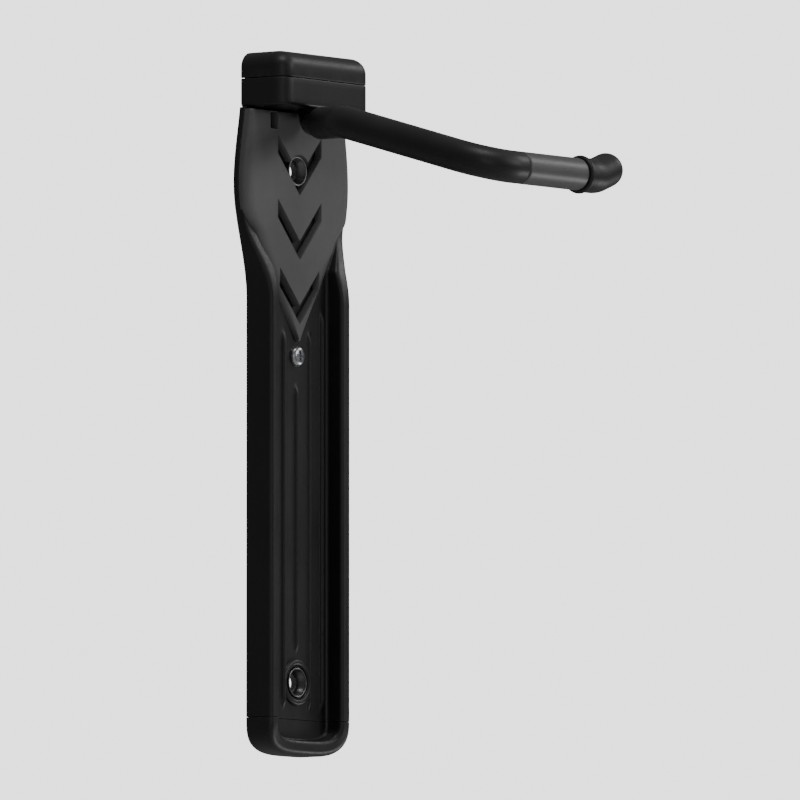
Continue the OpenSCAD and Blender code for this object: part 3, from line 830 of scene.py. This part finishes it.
@dataclass
class GripPad:
    """Grey shield that wraps the shoulders, with chevrons cut through it."""

    form: BodyForm
    front: float = float(-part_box("grip_pad")[0].y)
    seat: float = 4.0 * MM
    skirt_low: float = 3.0 * MM
    skirt: float = 2.0 * MM
    crown: float = 0.5 * MM
    edge_high: tuple[float, float] = (2.6 * MM, 2.2 * MM)
    edge_low: tuple[float, float] = (6.5 * MM, 3.2 * MM)
    tip_r: float = 1.0 * MM
    screw_z: float = 111 * MM
    hole_r: float = 6.7 * MM
    chevron_pitch: float = 28 * MM
    chevron_arm: float = 15 * MM
    chevron_rise: float = 17 * MM
    chevron_stroke: float = 7 * MM
    chevron_border: float = 4 * MM
    slot_x: float = 18 * MM
    slot_drop: float = 4 * MM
    slot_size: tuple[float, float] = (4.5 * MM, 7 * MM)
    chamfer: float = 0.45 * MM
    chamfer_depth: float = 0.9 * MM
    step: float = 1.2 * MM
    tip_round: float = 1.3 * MM
    top_round: float = 0.8 * MM

    def edge(self, z: np.ndarray, half: np.ndarray) -> tuple[np.ndarray, np.ndarray]:
        """How far the edge's rounding reaches inwards and how deep it drops.

        Both ease from the narrow edge below the head to the broad one beside the
        shoulders, and shrink again where the pad itself is narrow.
        """
        t = smooth(between(z, self.form.pad_top, self.form.wrap))
        reach = self.edge_high[0] + (self.edge_low[0] - self.edge_high[0]) * t
        drop = self.edge_high[1] + (self.edge_low[1] - self.edge_high[1]) * t
        reach = np.minimum(reach, half * 0.42)
        return reach, np.minimum(drop, 0.9 * (self.front - self.seat))

    def rings(self) -> np.ndarray:
        """Closed sections: crowned front, elliptic edges, skirt and seat."""
        form = self.form
        tip = form.pad_tip
        z = np.concatenate([tip + np.array([0, 0.15, 0.4, 0.8, 1.3]) * MM,
                            np.arange(tip + 2 * MM, form.wrap - self.step / 2, self.step),
                            [form.wrap, form.wrap + 0.05 * MM],
                            np.arange(form.wrap + self.step, form.pad_top - self.top_round,
                                      self.step),
                            form.pad_top - np.array([0.8, 0.3, 0]) * MM])[:, None]
        half = np.maximum(form.pad_half(z), self.tip_r)
        ease_low = np.sqrt(1 - (1 - between(z, tip, tip + self.tip_round)) ** 2)
        ease_high = np.sqrt(
            1 - (1 - between(z, form.pad_top, form.pad_top - self.top_round)) ** 2)
        half = half * (0.35 + 0.65 * ease_low)
        reach, drop = self.edge(z, half)
        u = np.linspace(0, 1, 26)[None, :]
        flat = half - reach
        front_x = flat * u
        front = self.front - self.crown * (front_x / form.shoulder_half) ** 2
        c, s = arc(90, 0, 12)
        edge_x = flat + reach * c[None, 1:]
        edge_out = front[:, -1:] - drop * (1 - s[None, 1:])
        skirted = z > form.wrap + 0.01 * MM
        seat_low = np.where(skirted, self.skirt_low, self.seat)
        side_out = seat_low + (edge_out[:, -1:] - seat_low) * np.array([[0.66, 0.33, 0.0]])
        inner = np.maximum(half - self.skirt, half * 0.3)
        half_x = np.concatenate([front_x, edge_x, np.repeat(half, 3, 1), inner, inner,
                                 inner * 0.5], 1)
        half_out = np.concatenate([front, edge_out, side_out, seat_low,
                                   np.full_like(half, self.seat),
                                   np.full_like(half, self.seat)], 1)
        lift = 0.5 * MM * (1 - ease_high) + 0.8 * MM * (1 - ease_low)
        half_out = np.where(half_out > self.seat + 1.5 * MM, half_out - lift, half_out)
        return mirrored(half_x, half_out, z)

    def chevron(self, tip: float) -> np.ndarray:
        """Corners of one chevron, point down, narrowed where the pad is narrow."""
        room = float(self.form.pad_half(np.array(tip + self.chevron_rise)))
        arm = min(self.chevron_arm, room - self.chevron_border)
        rise = self.chevron_rise * arm / self.chevron_arm
        stroke = self.chevron_stroke
        return np.array([(0, tip), (arm, tip + rise), (arm, tip + rise + stroke),
                         (0, tip + stroke), (-arm, tip + rise + stroke),
                         (-arm, tip + rise)])

    def slot_corners(self, side: int) -> np.ndarray:
        """Corners of one of the two slots under the head."""
        w, h = self.slot_size
        x, z = side * self.slot_x, self.form.pad_top - self.slot_drop
        return np.array([(x - w / 2, z - h / 2), (x + w / 2, z - h / 2),
                         (x + w / 2, z + h / 2), (x - w / 2, z + h / 2)])

    def build(self, shop: Workshop) -> None:
        """Makes the pad and cuts its chevrons, slots and screw hole."""
        piece = loft("grip_shield", self.rings())
        face = self.front
        stations = [(MM, 0.0), (face - self.chamfer_depth, 0.0), (face, self.chamfer),
                    (face + 3 * MM, self.chamfer + 1.2 * MM)]
        tips = [self.screw_z - 10 * MM - i * self.chevron_pitch for i in range(3)]
        cutters = [prism(self.chevron(tip), stations) for tip in tips]
        cutters += [prism(self.slot_corners(side), stations) for side in (-1, 1)]
        cutters.append(drill(0, self.screw_z,
                             [(MM, self.hole_r), (face - 0.8 * MM, self.hole_r),
                              (face, self.hole_r + self.chamfer),
                              (face + 3 * MM, self.hole_r + 1.4 * MM)]))
        carve(piece, cutters)
        shop.deliver(piece, Body.RACK, Slot.GREY_RUBBER, "grip_pad")


@dataclass
class Head:
    """The two black shells round the pivot."""

    half: float = float(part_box("head_housing")[1].x)
    depth: float = float(-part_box("head_housing")[0].y)
    bottom: float = float(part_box("head_housing")[0].z)
    seam: float = float(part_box("head_cover")[0].z)
    top: float = float(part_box("head_cover")[1].z)
    corner_r: float = 8 * MM
    edge_r: float = 7 * MM
    low_r: float = 1.6 * MM
    lip_r: float = 0.5 * MM
    wall: float = 2 * MM
    gap: float = 0.2 * MM
    least_r: float = 0.6 * MM
    pivot_out: float = PIVOT_OUT
    rod_hole_r: float = 7 * MM

    def plan(self, inset: np.ndarray) -> np.ndarray:
        """Outline from above at each inset: side, round corner, front, corner, side.

        Args:
            inset: How far each ring lies inside the outline.

        Returns:
            Rings of points as [x, y], one ring for each inset.
        """
        inset = inset[:, None]
        half, depth = self.half - inset, self.depth - inset
        r = np.maximum(self.corner_r - inset, self.least_r)
        side = np.linspace(0, 1, 12)[None, :-1]
        c, s = arc(0, 90, 14)
        left_x = np.concatenate([-half + 0 * side, -(half - r) - r * c[None, :]], 1)
        left_y = np.concatenate([-(depth - r) * side, -(depth - r) - r * s[None, :]], 1)
        front = np.linspace(-1, 1, 26)[None, 1:-1]
        front_x = (half - r) * front
        front_y = -depth + 0 * front
        x = np.concatenate([left_x, front_x, -left_x[:, ::-1]], 1)
        y = np.concatenate([left_y, front_y, left_y[:, ::-1]], 1)
        return np.stack([x, y], axis=-1)

    def shell(self, name: str, inset: np.ndarray, z: np.ndarray) -> bpy.types.Object:
        """A shell from rings up its side, closed over by shrinking the last ring.

        Args:
            name: The piece's name.
            inset: Inset of each ring.
            z: Height of each ring.

        Returns:
            The shell, thickened inwards.
        """
        rings = self.plan(inset)
        share = np.linspace(1, 0, 9)[1:, None, None]
        rings = np.concatenate([rings, rings[-1][None] * share])
        heights = np.concatenate([z, np.full(len(share), z[-1])])
        points = np.concatenate([rings, np.broadcast_to(heights[:, None, None],
                                                        rings.shape[:2] + (1,))], -1)
        rows, cols = points.shape[:2]
        piece = make_piece(name, points, grid_quads(rows, cols).tolist())
        self._face_out(piece)
        skin = piece.modifiers.new("wall", "SOLIDIFY")
        skin.thickness = self.wall
        skin.offset = -1
        skin.use_even_offset = True
        skin.use_rim = True
        settle(piece)
        piece.data.shade_smooth()
        piece.data.set_sharp_from_angle(angle=SHARP_ANGLE)
        return piece

    def _face_out(self, piece: bpy.types.Object) -> None:
        """Turns an open shell's faces away from the middle of the head."""
        middle = Vector((0, -self.depth / 2, (self.bottom + self.top) / 2))
        faces = piece.data.polygons
        votes = sum((f.center - middle).dot(f.normal) * f.area for f in faces)
        if votes < 0:
            piece.data.flip_normals()

    def cover(self) -> bpy.types.Object:
        """Upper shell: a small lip, the wall, and a broad round to the top."""
        lip_c, lip_s = arc(-90, 0, 4)
        top_c, top_s = arc(0, 90, 14)
        inset = np.concatenate([self.lip_r * (1 - lip_c), self.edge_r * (1 - top_c)])
        z = np.concatenate([self.seam + self.lip_r * (1 + lip_s),
                            self.top - self.edge_r * (1 - top_s)])
        return self.shell("head_cap", inset, z)

    def housing(self) -> bpy.types.Object:
        """Lower shell: a small lip at the seam, the wall, and a floor with a rod hole."""
        lip_c, lip_s = arc(90, 0, 4)
        low_c, low_s = arc(0, -90, 7)
        ridge = self.seam - self.gap
        wall_z = np.linspace(ridge - self.lip_r, self.bottom + self.low_r, 6)[1:-1]
        inset = np.concatenate([self.lip_r * (1 - lip_c), 0 * wall_z,
                                self.low_r * (1 - low_c)])
        z = np.concatenate([ridge - self.lip_r * (1 - lip_s), wall_z,
                            self.bottom + self.low_r * (1 + low_s)])
        piece = self.shell("head_shell", inset, z)
        c, s = circle(CUTTER_SIDES)
        heights = np.array([self.bottom - MM, self.bottom + self.wall + MM])
        ring = np.stack([self.rod_hole_r * c, -self.pivot_out + self.rod_hole_r * s], -1)
        rings = np.stack([np.column_stack([ring, np.full(len(c), h)]) for h in heights])
        carve(piece, [loft("cutter", rings)])
        return piece

    def build(self, shop: Workshop) -> None:
        """Makes both shells."""
        shop.deliver(self.housing(), Body.RACK, Slot.BLACK_MOULDING, "head_housing")
        shop.deliver(self.cover(), Body.RACK, Slot.BLACK_MOULDING, "head_cover")


class RodPath:
    """Centre line of the hook: straight stretches joined by round bends."""

    def __init__(self, corners: np.ndarray, bends: Sequence[float]) -> None:
        """Works out each stretch and bend.

        Args:
            corners: Corner points, one row each.
            bends: Radius of the bend at each corner; the two ends have none.
        """
        self.corners = corners
        step = np.diff(corners, axis=0)
        self.length = np.linalg.norm(step, axis=1)
        self.way = step / self.length[:, None]
        turn = np.arccos(np.clip((self.way[:-1] * self.way[1:]).sum(1), -1, 1))
        self.bend_r = np.array(bends[1:-1])
        self.cut = np.concatenate([[0], self.bend_r * np.tan(turn / 2), [0]])
        straight = self.length - self.cut[:-1] - self.cut[1:]
        lengths = np.empty(2 * len(straight) - 1)
        lengths[0::2] = straight
        lengths[1::2] = self.bend_r * turn
        self.marks = np.concatenate([[0], np.cumsum(lengths)])

    def mark(self, corner: int, distance: float) -> float:
        """Distance along the path of a point on the stretch that follows a corner."""
        return float(self.marks[2 * corner] + distance - self.cut[corner])

    def at(self, s: np.ndarray) -> tuple[np.ndarray, np.ndarray]:
        """Points and directions at distances along the path.

        On a stretch the point moves along its direction; on a bend it turns about the
        bend's centre, which lies one radius from the path on the inside.

        Args:
            s: Distances from the start.

        Returns:
            Points and unit directions, one row each.
        """
        points, ways = np.empty((len(s), 3)), np.empty((len(s), 3))
        part = np.clip(np.searchsorted(self.marks, s, side="right") - 1, 0,
                       len(self.marks) - 2)
        for k in range(len(self.marks) - 1):
            here = part == k
            i, past = k // 2, (s[here] - self.marks[k])[:, None]
            if k % 2 == 0:
                start = self.corners[i] + self.way[i] * self.cut[i]
                points[here] = start + self.way[i] * past
                ways[here] = self.way[i]
                continue
            r = self.bend_r[i]
            first, last = self.way[i], self.way[i + 1]
            inward = last - first * (first @ last)
            inward /= np.linalg.norm(inward)
            start = self.corners[i + 1] - first * self.cut[i + 1]
            angle = past / r
            points[here] = start + first * r * np.sin(angle) + inward * r * (1 - np.cos(angle))
            ways[here] = first * np.cos(angle) + inward * np.sin(angle)
        return points, ways

    def rings(self, s: np.ndarray, radius: np.ndarray, sides: int) -> np.ndarray:
        """Round rings across the path.

        Each ring's first axis is a fixed slanted direction made square to the path.

        Args:
            s: Distance of each ring along the path.
            radius: Radius of each ring.
            sides: Points per ring.

        Returns:
            Rings of points.
        """
        points, ways = self.at(s)
        slant = np.array([0.30, -0.25, 0.92])
        first = slant - ways * (ways @ slant)[:, None]
        first /= np.linalg.norm(first, axis=1)[:, None]
        second = np.cross(ways, first)
        c, t = circle(sides)
        spoke = first[:, None] * c[None, :, None] + second[:, None] * t[None, :, None]
        return points[:, None] + spoke * radius[:, None, None]


@dataclass
class Hook:
    """Bent steel rod in rubber sleeves, with a cap on its turned-up end."""

    rod_r: float = 5.0 * MM
    sleeve_r: float = 7.0 * MM
    bore: float = 0.05 * MM
    pivot_out: float = PIVOT_OUT
    arm_drop: float = 6.0 * MM
    shoulder_out: float = 60 * MM
    shoulder_drop: float = 4 * MM
    sleeve_start: float = 22 * MM
    sleeve_split: float = 22 * MM
    tip_run: float = 8.5 * MM
    tip_rise: float = 3.1 * MM
    cap_nose_r: float = 7.5 * MM
    cap_lip_r: float = 8.3 * MM
    cap_mouth: float = 12 * MM
    lip_half: float = 1.5 * MM
    waist_start: float = 0.6 * MM
    waist_depth: float = 0.25 * MM
    waist_reach: float = 2 * MM
    rod_short: float = 3 * MM
    end_round: float = 0.9 * MM
    gap: float = 0.2 * MM
    sides: int = 56
    path: RodPath = field(init=False)

    def __post_init__(self) -> None:
        """Reads the hook's places from the frame and lays out its path."""
        peg_low, peg_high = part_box("peg_sleeve")
        rod_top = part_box("hook_rod")[1].z
        arm_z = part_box("head_housing")[0].z - self.arm_drop
        peg_y, peg_z = (peg_low.y + peg_high.y) / 2, (peg_low.z + peg_high.z) / 2
        arm_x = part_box("arm_sleeve")[0].x + self.sleeve_r
        tip_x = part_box("tip_cap")[1].x - self.cap_nose_r
        corners = np.array([
            (0, -self.pivot_out, rod_top),
            (0, -self.pivot_out, arm_z),
            (arm_x, -self.shoulder_out, arm_z - self.shoulder_drop),
            (arm_x, peg_y, peg_z),
            (tip_x - self.tip_run, peg_y, peg_z),
            (tip_x, peg_y, peg_z + self.tip_rise)])
        self.path = RodPath(corners, [0, 8 * MM, 18 * MM, 17 * MM, 12 * MM, 0])

    def sleeve(self, name: str, start: float, end: float) -> bpy.types.Object:
        """A rubber tube with rounded ends.

        Args:
            name: The piece's name.
            start: Where it starts along the path.
            end: Where it ends along the path.

        Returns:
            The sleeve.
        """
        round_r = self.end_round
        c, t = arc(180, 90, 7)
        near = start + round_r * (1 + c)
        near_r = self.sleeve_r - round_r * (1 - t)
        middle = np.linspace(start + round_r, end - round_r, int((end - start) / MM) + 2)[1:-1]
        c, t = arc(90, 0, 7)
        far = end - round_r + round_r * c
        far_r = self.sleeve_r - round_r * (1 - t)
        s = np.concatenate([near, middle, far])
        r = np.concatenate([near_r, np.full(len(middle), self.sleeve_r), far_r])
        bore_r = self.rod_r + self.bore
        back = np.linspace(end, start, len(middle) // 2 + 2)
        s = np.concatenate([s, back])
        r = np.concatenate([r, np.full(len(back), bore_r)])
        return ring_stack(name, self.path.rings(s, r, self.sides), True)

    def cap(self) -> bpy.types.Object:
        """The tip: a lip at the mouth, a waist, and a round nose on the turned-up end."""
        path = self.path
        start = path.mark(3, float(path.length[3]) - self.cap_mouth + self.gap)
        end = path.mark(4, float(path.length[4]))
        lip, nose, bore_r = self.cap_lip_r, self.cap_nose_r, self.rod_r + self.bore
        c, t = arc(180, 0, 15)
        lip_s = start + self.lip_half * (1 + c)
        lip_r = lip - self.lip_half * 0.8 * (1 - t)
        body_s = np.linspace(start + 2 * self.lip_half + self.waist_start, end, 26)
        sink = np.exp(-((body_s - body_s[0]) / self.waist_reach) ** 2)
        body_r = nose - self.waist_depth * sink
        c, t = arc(90, 0, 14)
        nose_s = end + nose * c[1:]
        nose_r = nose * t[1:]
        rod_end = end - self.rod_short + self.bore
        bore_s = np.linspace(rod_end, start, 14)
        s = np.concatenate([lip_s, body_s, nose_s, [rod_end], bore_s, [start]])
        r = np.concatenate([lip_r, body_r, nose_r, [0.0], np.full(14, bore_r),
                            [lip_r[0]]])
        return ring_stack("tip_nub", path.rings(s, r, self.sides), False)

    def build(self, shop: Workshop) -> None:
        """Makes the two sleeves and the cap; the rod keeps its CAD shape."""
        path = self.path
        arm = self.sleeve("arm_grip", path.mark(1, self.sleeve_start),
                          path.mark(3, self.sleeve_split))
        shop.deliver(arm, Body.HOOK, Slot.BLACK_RUBBER, "arm_sleeve")
        peg = self.sleeve("peg_grip", path.mark(3, self.sleeve_split + self.gap),
                          path.mark(3, float(path.length[3]) - self.cap_mouth))
        shop.deliver(peg, Body.HOOK, Slot.DARK_GREY_RUBBER, "peg_sleeve")
        shop.deliver(self.cap(), Body.HOOK, Slot.BLACK_RUBBER, "tip_cap")


@dataclass
class FaceScrew:
    """The pan-head screw below the pad's point, with a cross recess."""

    floor: float = 5.5 * MM
    radius: float = 4.5 * MM
    height: float = 2.4 * MM
    cross_half: float = 0.62 * MM
    cross_reach: float = 2.3 * MM
    cross_depth: float = 1.3 * MM
    cross_slope: float = 0.25 * MM
    shank_r: float = 2.0 * MM
    shank_end: float = 0.1 * MM
    sink: float = 0.02 * MM

    def build(self, shop: Workshop) -> None:
        """Makes the head as a dome over a polar grid, sunk where the cross is.

        The dome is the height times the square root of one minus the radius share to
        the fourth power; the cross is the nearer of two bars, with sloping walls.
        """
        low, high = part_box("centre_screw")
        z0 = (low.z + high.z) / 2
        c, s = circle(96)
        share = np.concatenate([np.linspace(0, 0.62, 22), np.linspace(0.65, 1, 14)])
        r = share[:, None] * self.radius
        x, z = r * c, r * s
        dome = self.height * (1 - share[:, None] ** 4) ** 0.5 * np.ones_like(x)
        bar = np.minimum(np.abs(x), np.abs(z))
        reach = np.maximum(np.abs(x), np.abs(z))
        slope = self.cross_slope
        cut = (smooth((self.cross_half - bar) / slope + 0.5)
               * smooth((self.cross_reach - reach) / (2 * slope) + 0.5))
        out = self.floor + dome - self.cross_depth * cut
        under = self.floor - self.sink
        outs = np.array([under, under, self.shank_end, self.shank_end])
        radii = np.array([self.radius, self.shank_r, self.shank_r, 0.0])
        x = np.concatenate([x, radii[:, None] * c])
        z = np.concatenate([z, radii[:, None] * s])
        out = np.concatenate([out, np.repeat(outs[:, None], len(c), 1)])
        rings = np.stack([x, -out, z0 + z], axis=-1)
        piece = ring_stack("pan_screw", rings, False)
        shop.deliver(piece, Body.RACK, Slot.BRIGHT_ZINC, "centre_screw")


@dataclass
class CupWashers:
    """Turned cups that take the wall screws' heads, with rolled rims."""

    base: float = 2.5 * MM
    top: float = 6.5 * MM
    outer_r: float = 6.5 * MM
    hole_r: float = 4.0 * MM
    floor: float = 3.7 * MM
    rim: float = 0.8 * MM
    foot: float = 0.3 * MM
    sides: int = 72

    def build(self, shop: Workshop) -> None:
        """Makes both cups in one mesh, each a profile turned about its screw."""
        low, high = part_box("cup_washers")
        rim_c, rim_s = arc(0, 180, 11)
        half = self.rim / 2
        crest = self.top - half
        out = np.concatenate([[self.base, self.base + self.foot], crest + half * rim_s,
                              np.linspace(crest, self.floor, 8)[1:],
                              [self.base + self.foot, self.base]])
        taper = np.linspace(self.outer_r - self.rim, self.hole_r + self.foot, 8)[1:]
        radius = np.concatenate([[self.outer_r - 0.2 * MM, self.outer_r],
                                 self.outer_r - half + half * rim_c, taper,
                                 [self.hole_r, self.hole_r]])
        cups = [turned(0, z, out, radius, self.sides).reshape(-1, 3)
                for z in (low.z + self.outer_r, high.z - self.outer_r)]
        quads = grid_quads(len(out), self.sides, True, True)
        faces = np.concatenate([quads, quads + len(cups[0])])
        piece = make_piece("cup_rings", np.concatenate(cups), faces.tolist())
        shop.deliver(piece, Body.RACK, Slot.DARK_ZINC, "cup_washers")


class KeptNodes:
    """CAD nodes whose shape is shown as it is, with a better material."""

    SLOTS = {
        "wall_plate": Slot.PLATE_STEEL, "pivot_bracket": Slot.PLATE_STEEL,
        "track_screws": Slot.BRIGHT_ZINC, "bracket_screws": Slot.BRIGHT_ZINC,
        "housing_screws": Slot.BRIGHT_ZINC, "cover_screws": Slot.DARK_ZINC,
        "lower_bush": Slot.BUSH_PLASTIC, "upper_bush": Slot.BUSH_PLASTIC,
        "hook_rod": Slot.COATED_STEEL, "stop_pin": Slot.BRIGHT_ZINC,
        "thrust_washer": Slot.BRIGHT_ZINC, "retaining_ring": Slot.DARK_ZINC,
    }

    def build(self, shop: Workshop) -> None:
        """Puts each node's finish in its material slots."""
        for name, slot in self.SLOTS.items():
            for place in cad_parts[name].material_slots:
                place.material = shop.materials[slot]
            log.info("%s keeps its shape, finish %s", name, slot.value)


# ---------------------------------------------------------------- studio


@dataclass(frozen=True)
class Lamp:
    """An oblong soft light: its place and size in metres, and its power in watts."""

    name: str
    place: tuple[float, float, float]
    size: tuple[float, float]
    power: float

    def build(self, aim: Vector) -> None:
        """Makes the light and turns it to face the aim."""
        data = bpy.data.lights.new(self.name, "AREA")
        data.shape = "RECTANGLE"
        data.size, data.size_y = self.size
        data.energy = self.power
        lamp = bpy.data.objects.new(self.name, data)
        bpy.context.scene.collection.objects.link(lamp)
        lamp.location = self.place
        lamp.rotation_euler = (aim - Vector(self.place)).to_track_quat("-Z", "Y").to_euler()


LAMPS = (
    Lamp("key", (1.5, -2.7, 1.1), (1.4, 1.4), 17),
    Lamp("edge", (2.05, -0.86, 1.33), (0.6, 0.5), 8),
    Lamp("under", (2.05, -1.17, -1.05), (0.7, 0.4), 9),
    Lamp("top", (-0.5, -1.1, 2.3), (0.9, 0.5), 15),
    Lamp("strip", (-1.9, -2.5, 0.2), (0.16, 1.6), 5),
)


@dataclass
class Studio:
    """Pale floor, soft lights and a long lens at the viewing angle."""

    azimuth: float = math.radians(-52.7)
    elevation: float = math.radians(-4.3)
    distance: float = 8.2
    aim: tuple[float, float, float] = (0.0, -0.062, 0.009)
    frame_height: float = 0.345
    sensor: float = 36.0
    floor_z: float = -1.25
    floor_half: float = 6.0
    sky_light: float = 0.16
    sky_seen: float = 2.4
    floor_seen: float = 1.5

    def build(self) -> None:
        """Makes the floor, the lights, the sky and the camera."""
        self.floor()
        self.sky()
        for lamp in LAMPS:
            lamp.build(Vector(self.aim))
        self.camera()

    def floor(self) -> None:
        """A wide pale floor well below the rack, brighter to the eye than as a light."""
        half, z = self.floor_half, self.floor_z
        corners = np.array([(-half, -half, z), (half, -half, z), (half, half, z),
                            (-half, half, z)])
        piece = make_piece("studio_floor", corners, [[0, 1, 2, 3]])
        material = bpy.data.materials.new("pale_floor")
        material.use_nodes = True
        shader = material.node_tree.nodes["Principled BSDF"]
        shader.inputs["Base Color"].default_value = (0.82, 0.82, 0.82, 1)
        shader.inputs["Roughness"].default_value = 0.7
        shader.inputs["Emission Color"].default_value = (1.0, 1.0, 1.0, 1)
        sheet = Sheet(material.node_tree)
        sheet.join(self._to_eye(sheet, 0.0, self.floor_seen),
                   shader.inputs["Emission Strength"])
        piece.data.materials.append(material)

    def sky(self) -> None:
        """A pale surround that is bright behind the rack and dim as a light."""
        world = bpy.data.worlds.new("studio_sky")
        world.use_nodes = True
        sheet = Sheet(world.node_tree)
        back = world.node_tree.nodes["Background"]
        back.inputs["Color"].default_value = (1.0, 1.0, 1.0, 1)
        sheet.join(self._to_eye(sheet, self.sky_light, self.sky_seen),
                   back.inputs["Strength"])
        bpy.context.scene.world = world

    @staticmethod
    def _to_eye(sheet: Sheet, as_light: float, seen: float) -> bpy.types.NodeSocket:
        """One strength for what lights the rack, another for what is looked at."""
        direct = sheet.add("LightPath").outputs["Is Camera Ray"]
        return sheet.span(direct, 0.0, 1.0, as_light, seen)

    def camera(self) -> None:
        """The camera: the direction is azimuth and elevation about the aim."""
        data = bpy.data.cameras.new("view")
        data.sensor_width = self.sensor
        data.lens = self.sensor * self.distance / self.frame_height
        data.clip_end = 100
        camera = bpy.data.objects.new("view", data)
        bpy.context.scene.collection.objects.link(camera)
        a, e = self.azimuth, self.elevation
        back = Vector((math.sin(a) * math.cos(e), -math.cos(a) * math.cos(e), math.sin(e)))
        camera.location = Vector(self.aim) + back * self.distance
        camera.rotation_euler = (-back).to_track_quat("-Z", "Y").to_euler()
        bpy.context.scene.camera = camera


def main() -> None:
    """Builds every part of the rack in order."""
    shop = Workshop()
    form = BodyForm()
    makers: Sequence[Callable[[Workshop], None]] = (
        TrackMoulding(form).build, GripPad(form).build, Head().build, Hook().build,
        FaceScrew().build, CupWashers().build, KeptNodes().build)
    for make in makers:
        make(shop)
    Studio().build()


if __name__ == "__main__":
    main()
